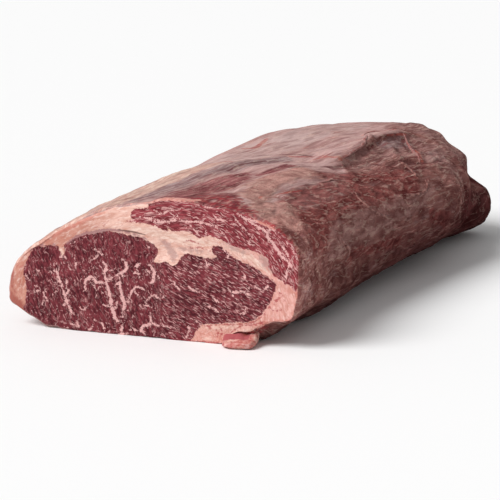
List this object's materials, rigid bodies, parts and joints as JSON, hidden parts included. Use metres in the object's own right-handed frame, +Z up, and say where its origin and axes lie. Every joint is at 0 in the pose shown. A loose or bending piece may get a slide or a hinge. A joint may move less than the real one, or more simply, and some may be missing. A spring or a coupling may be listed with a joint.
{
  "type": "raw beef rib roast",
  "caption": "Raw boneless beef rib roast lying fat side up, with marbled lean and fat on its cut face.",
  "frame": {"origin": "centre of the roast's bounding box, at the height of its underside", "axes": "+Y along the roast, away from the cut face, +X to the right when the cut face is in front, +Z up"},
  "size_m": [0.2225, 0.4455, 0.0997],
  "materials": {
    "raw_beef": "moist satin"
  },
  "bodies": {
    "root": {"rib_roast": "raw_beef"}
  },
  "joints": []
}
